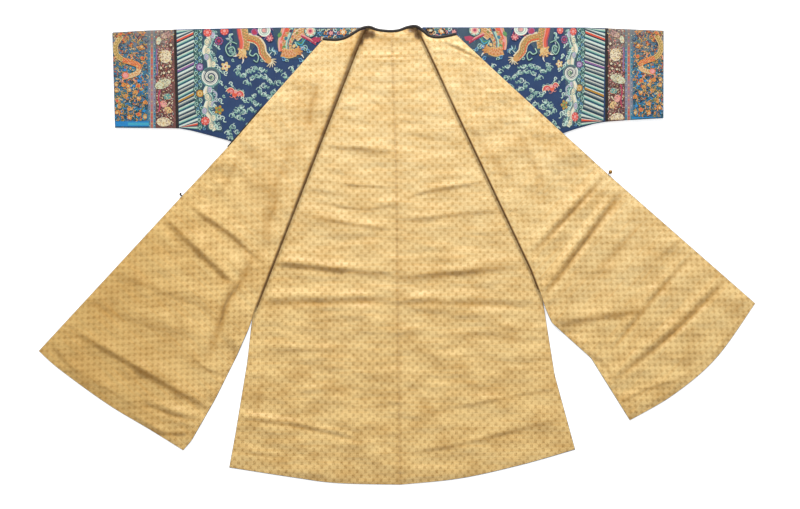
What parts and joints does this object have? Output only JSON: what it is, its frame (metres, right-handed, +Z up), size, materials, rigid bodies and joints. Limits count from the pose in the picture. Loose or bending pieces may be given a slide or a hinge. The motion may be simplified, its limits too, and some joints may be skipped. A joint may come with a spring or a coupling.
{
  "type": "dragon robe laid open",
  "caption": "Front-opening silk robe with wide sleeves, laid flat on its back with both fronts folded outwards to show a gold damask lining.",
  "frame": {"origin": "on the surface the robe lies on, at the middle of its outline", "axes": "+X across the robe towards the wearer's left sleeve as it lies face up, +Y from the hem to the neck, +Z up from the surface"},
  "size_m": [1.793, 1.149, 0.012],
  "materials": {
    "blue_silk": "embroidered satin",
    "gold_damask": "damask with a satin sheen",
    "black_satin": "satin",
    "brown_brocade": "brocade",
    "ribbon": "woven ribbon",
    "turquoise_brocade": "brocade",
    "gilt_brass": "worn gilt"
  },
  "bodies": {
    "root": {"back_left": "blue_silk", "back_right": "blue_silk", "front_left": "blue_silk", "front_right": "blue_silk", "sleeve_left": "blue_silk", "sleeve_right": "blue_silk", "back_lining_left": "gold_damask", "back_lining_right": "gold_damask", "front_lining_left": "gold_damask", "front_lining_right": "gold_damask", "piping_left": "black_satin", "piping_right": "black_satin", "patterned_band_left": "brown_brocade", "patterned_band_right": "brown_brocade", "ribbon_left": "ribbon", "ribbon_right": "ribbon", "cuff_left": "turquoise_brocade", "cuff_right": "turquoise_brocade", "neck_binding": "black_satin", "front_edging_left": "black_satin", "neck_loop": "black_satin", "neck_strap": "black_satin", "front_loop": "black_satin", "button_shank": "black_satin", "button": "gilt_brass"}
  },
  "joints": []
}
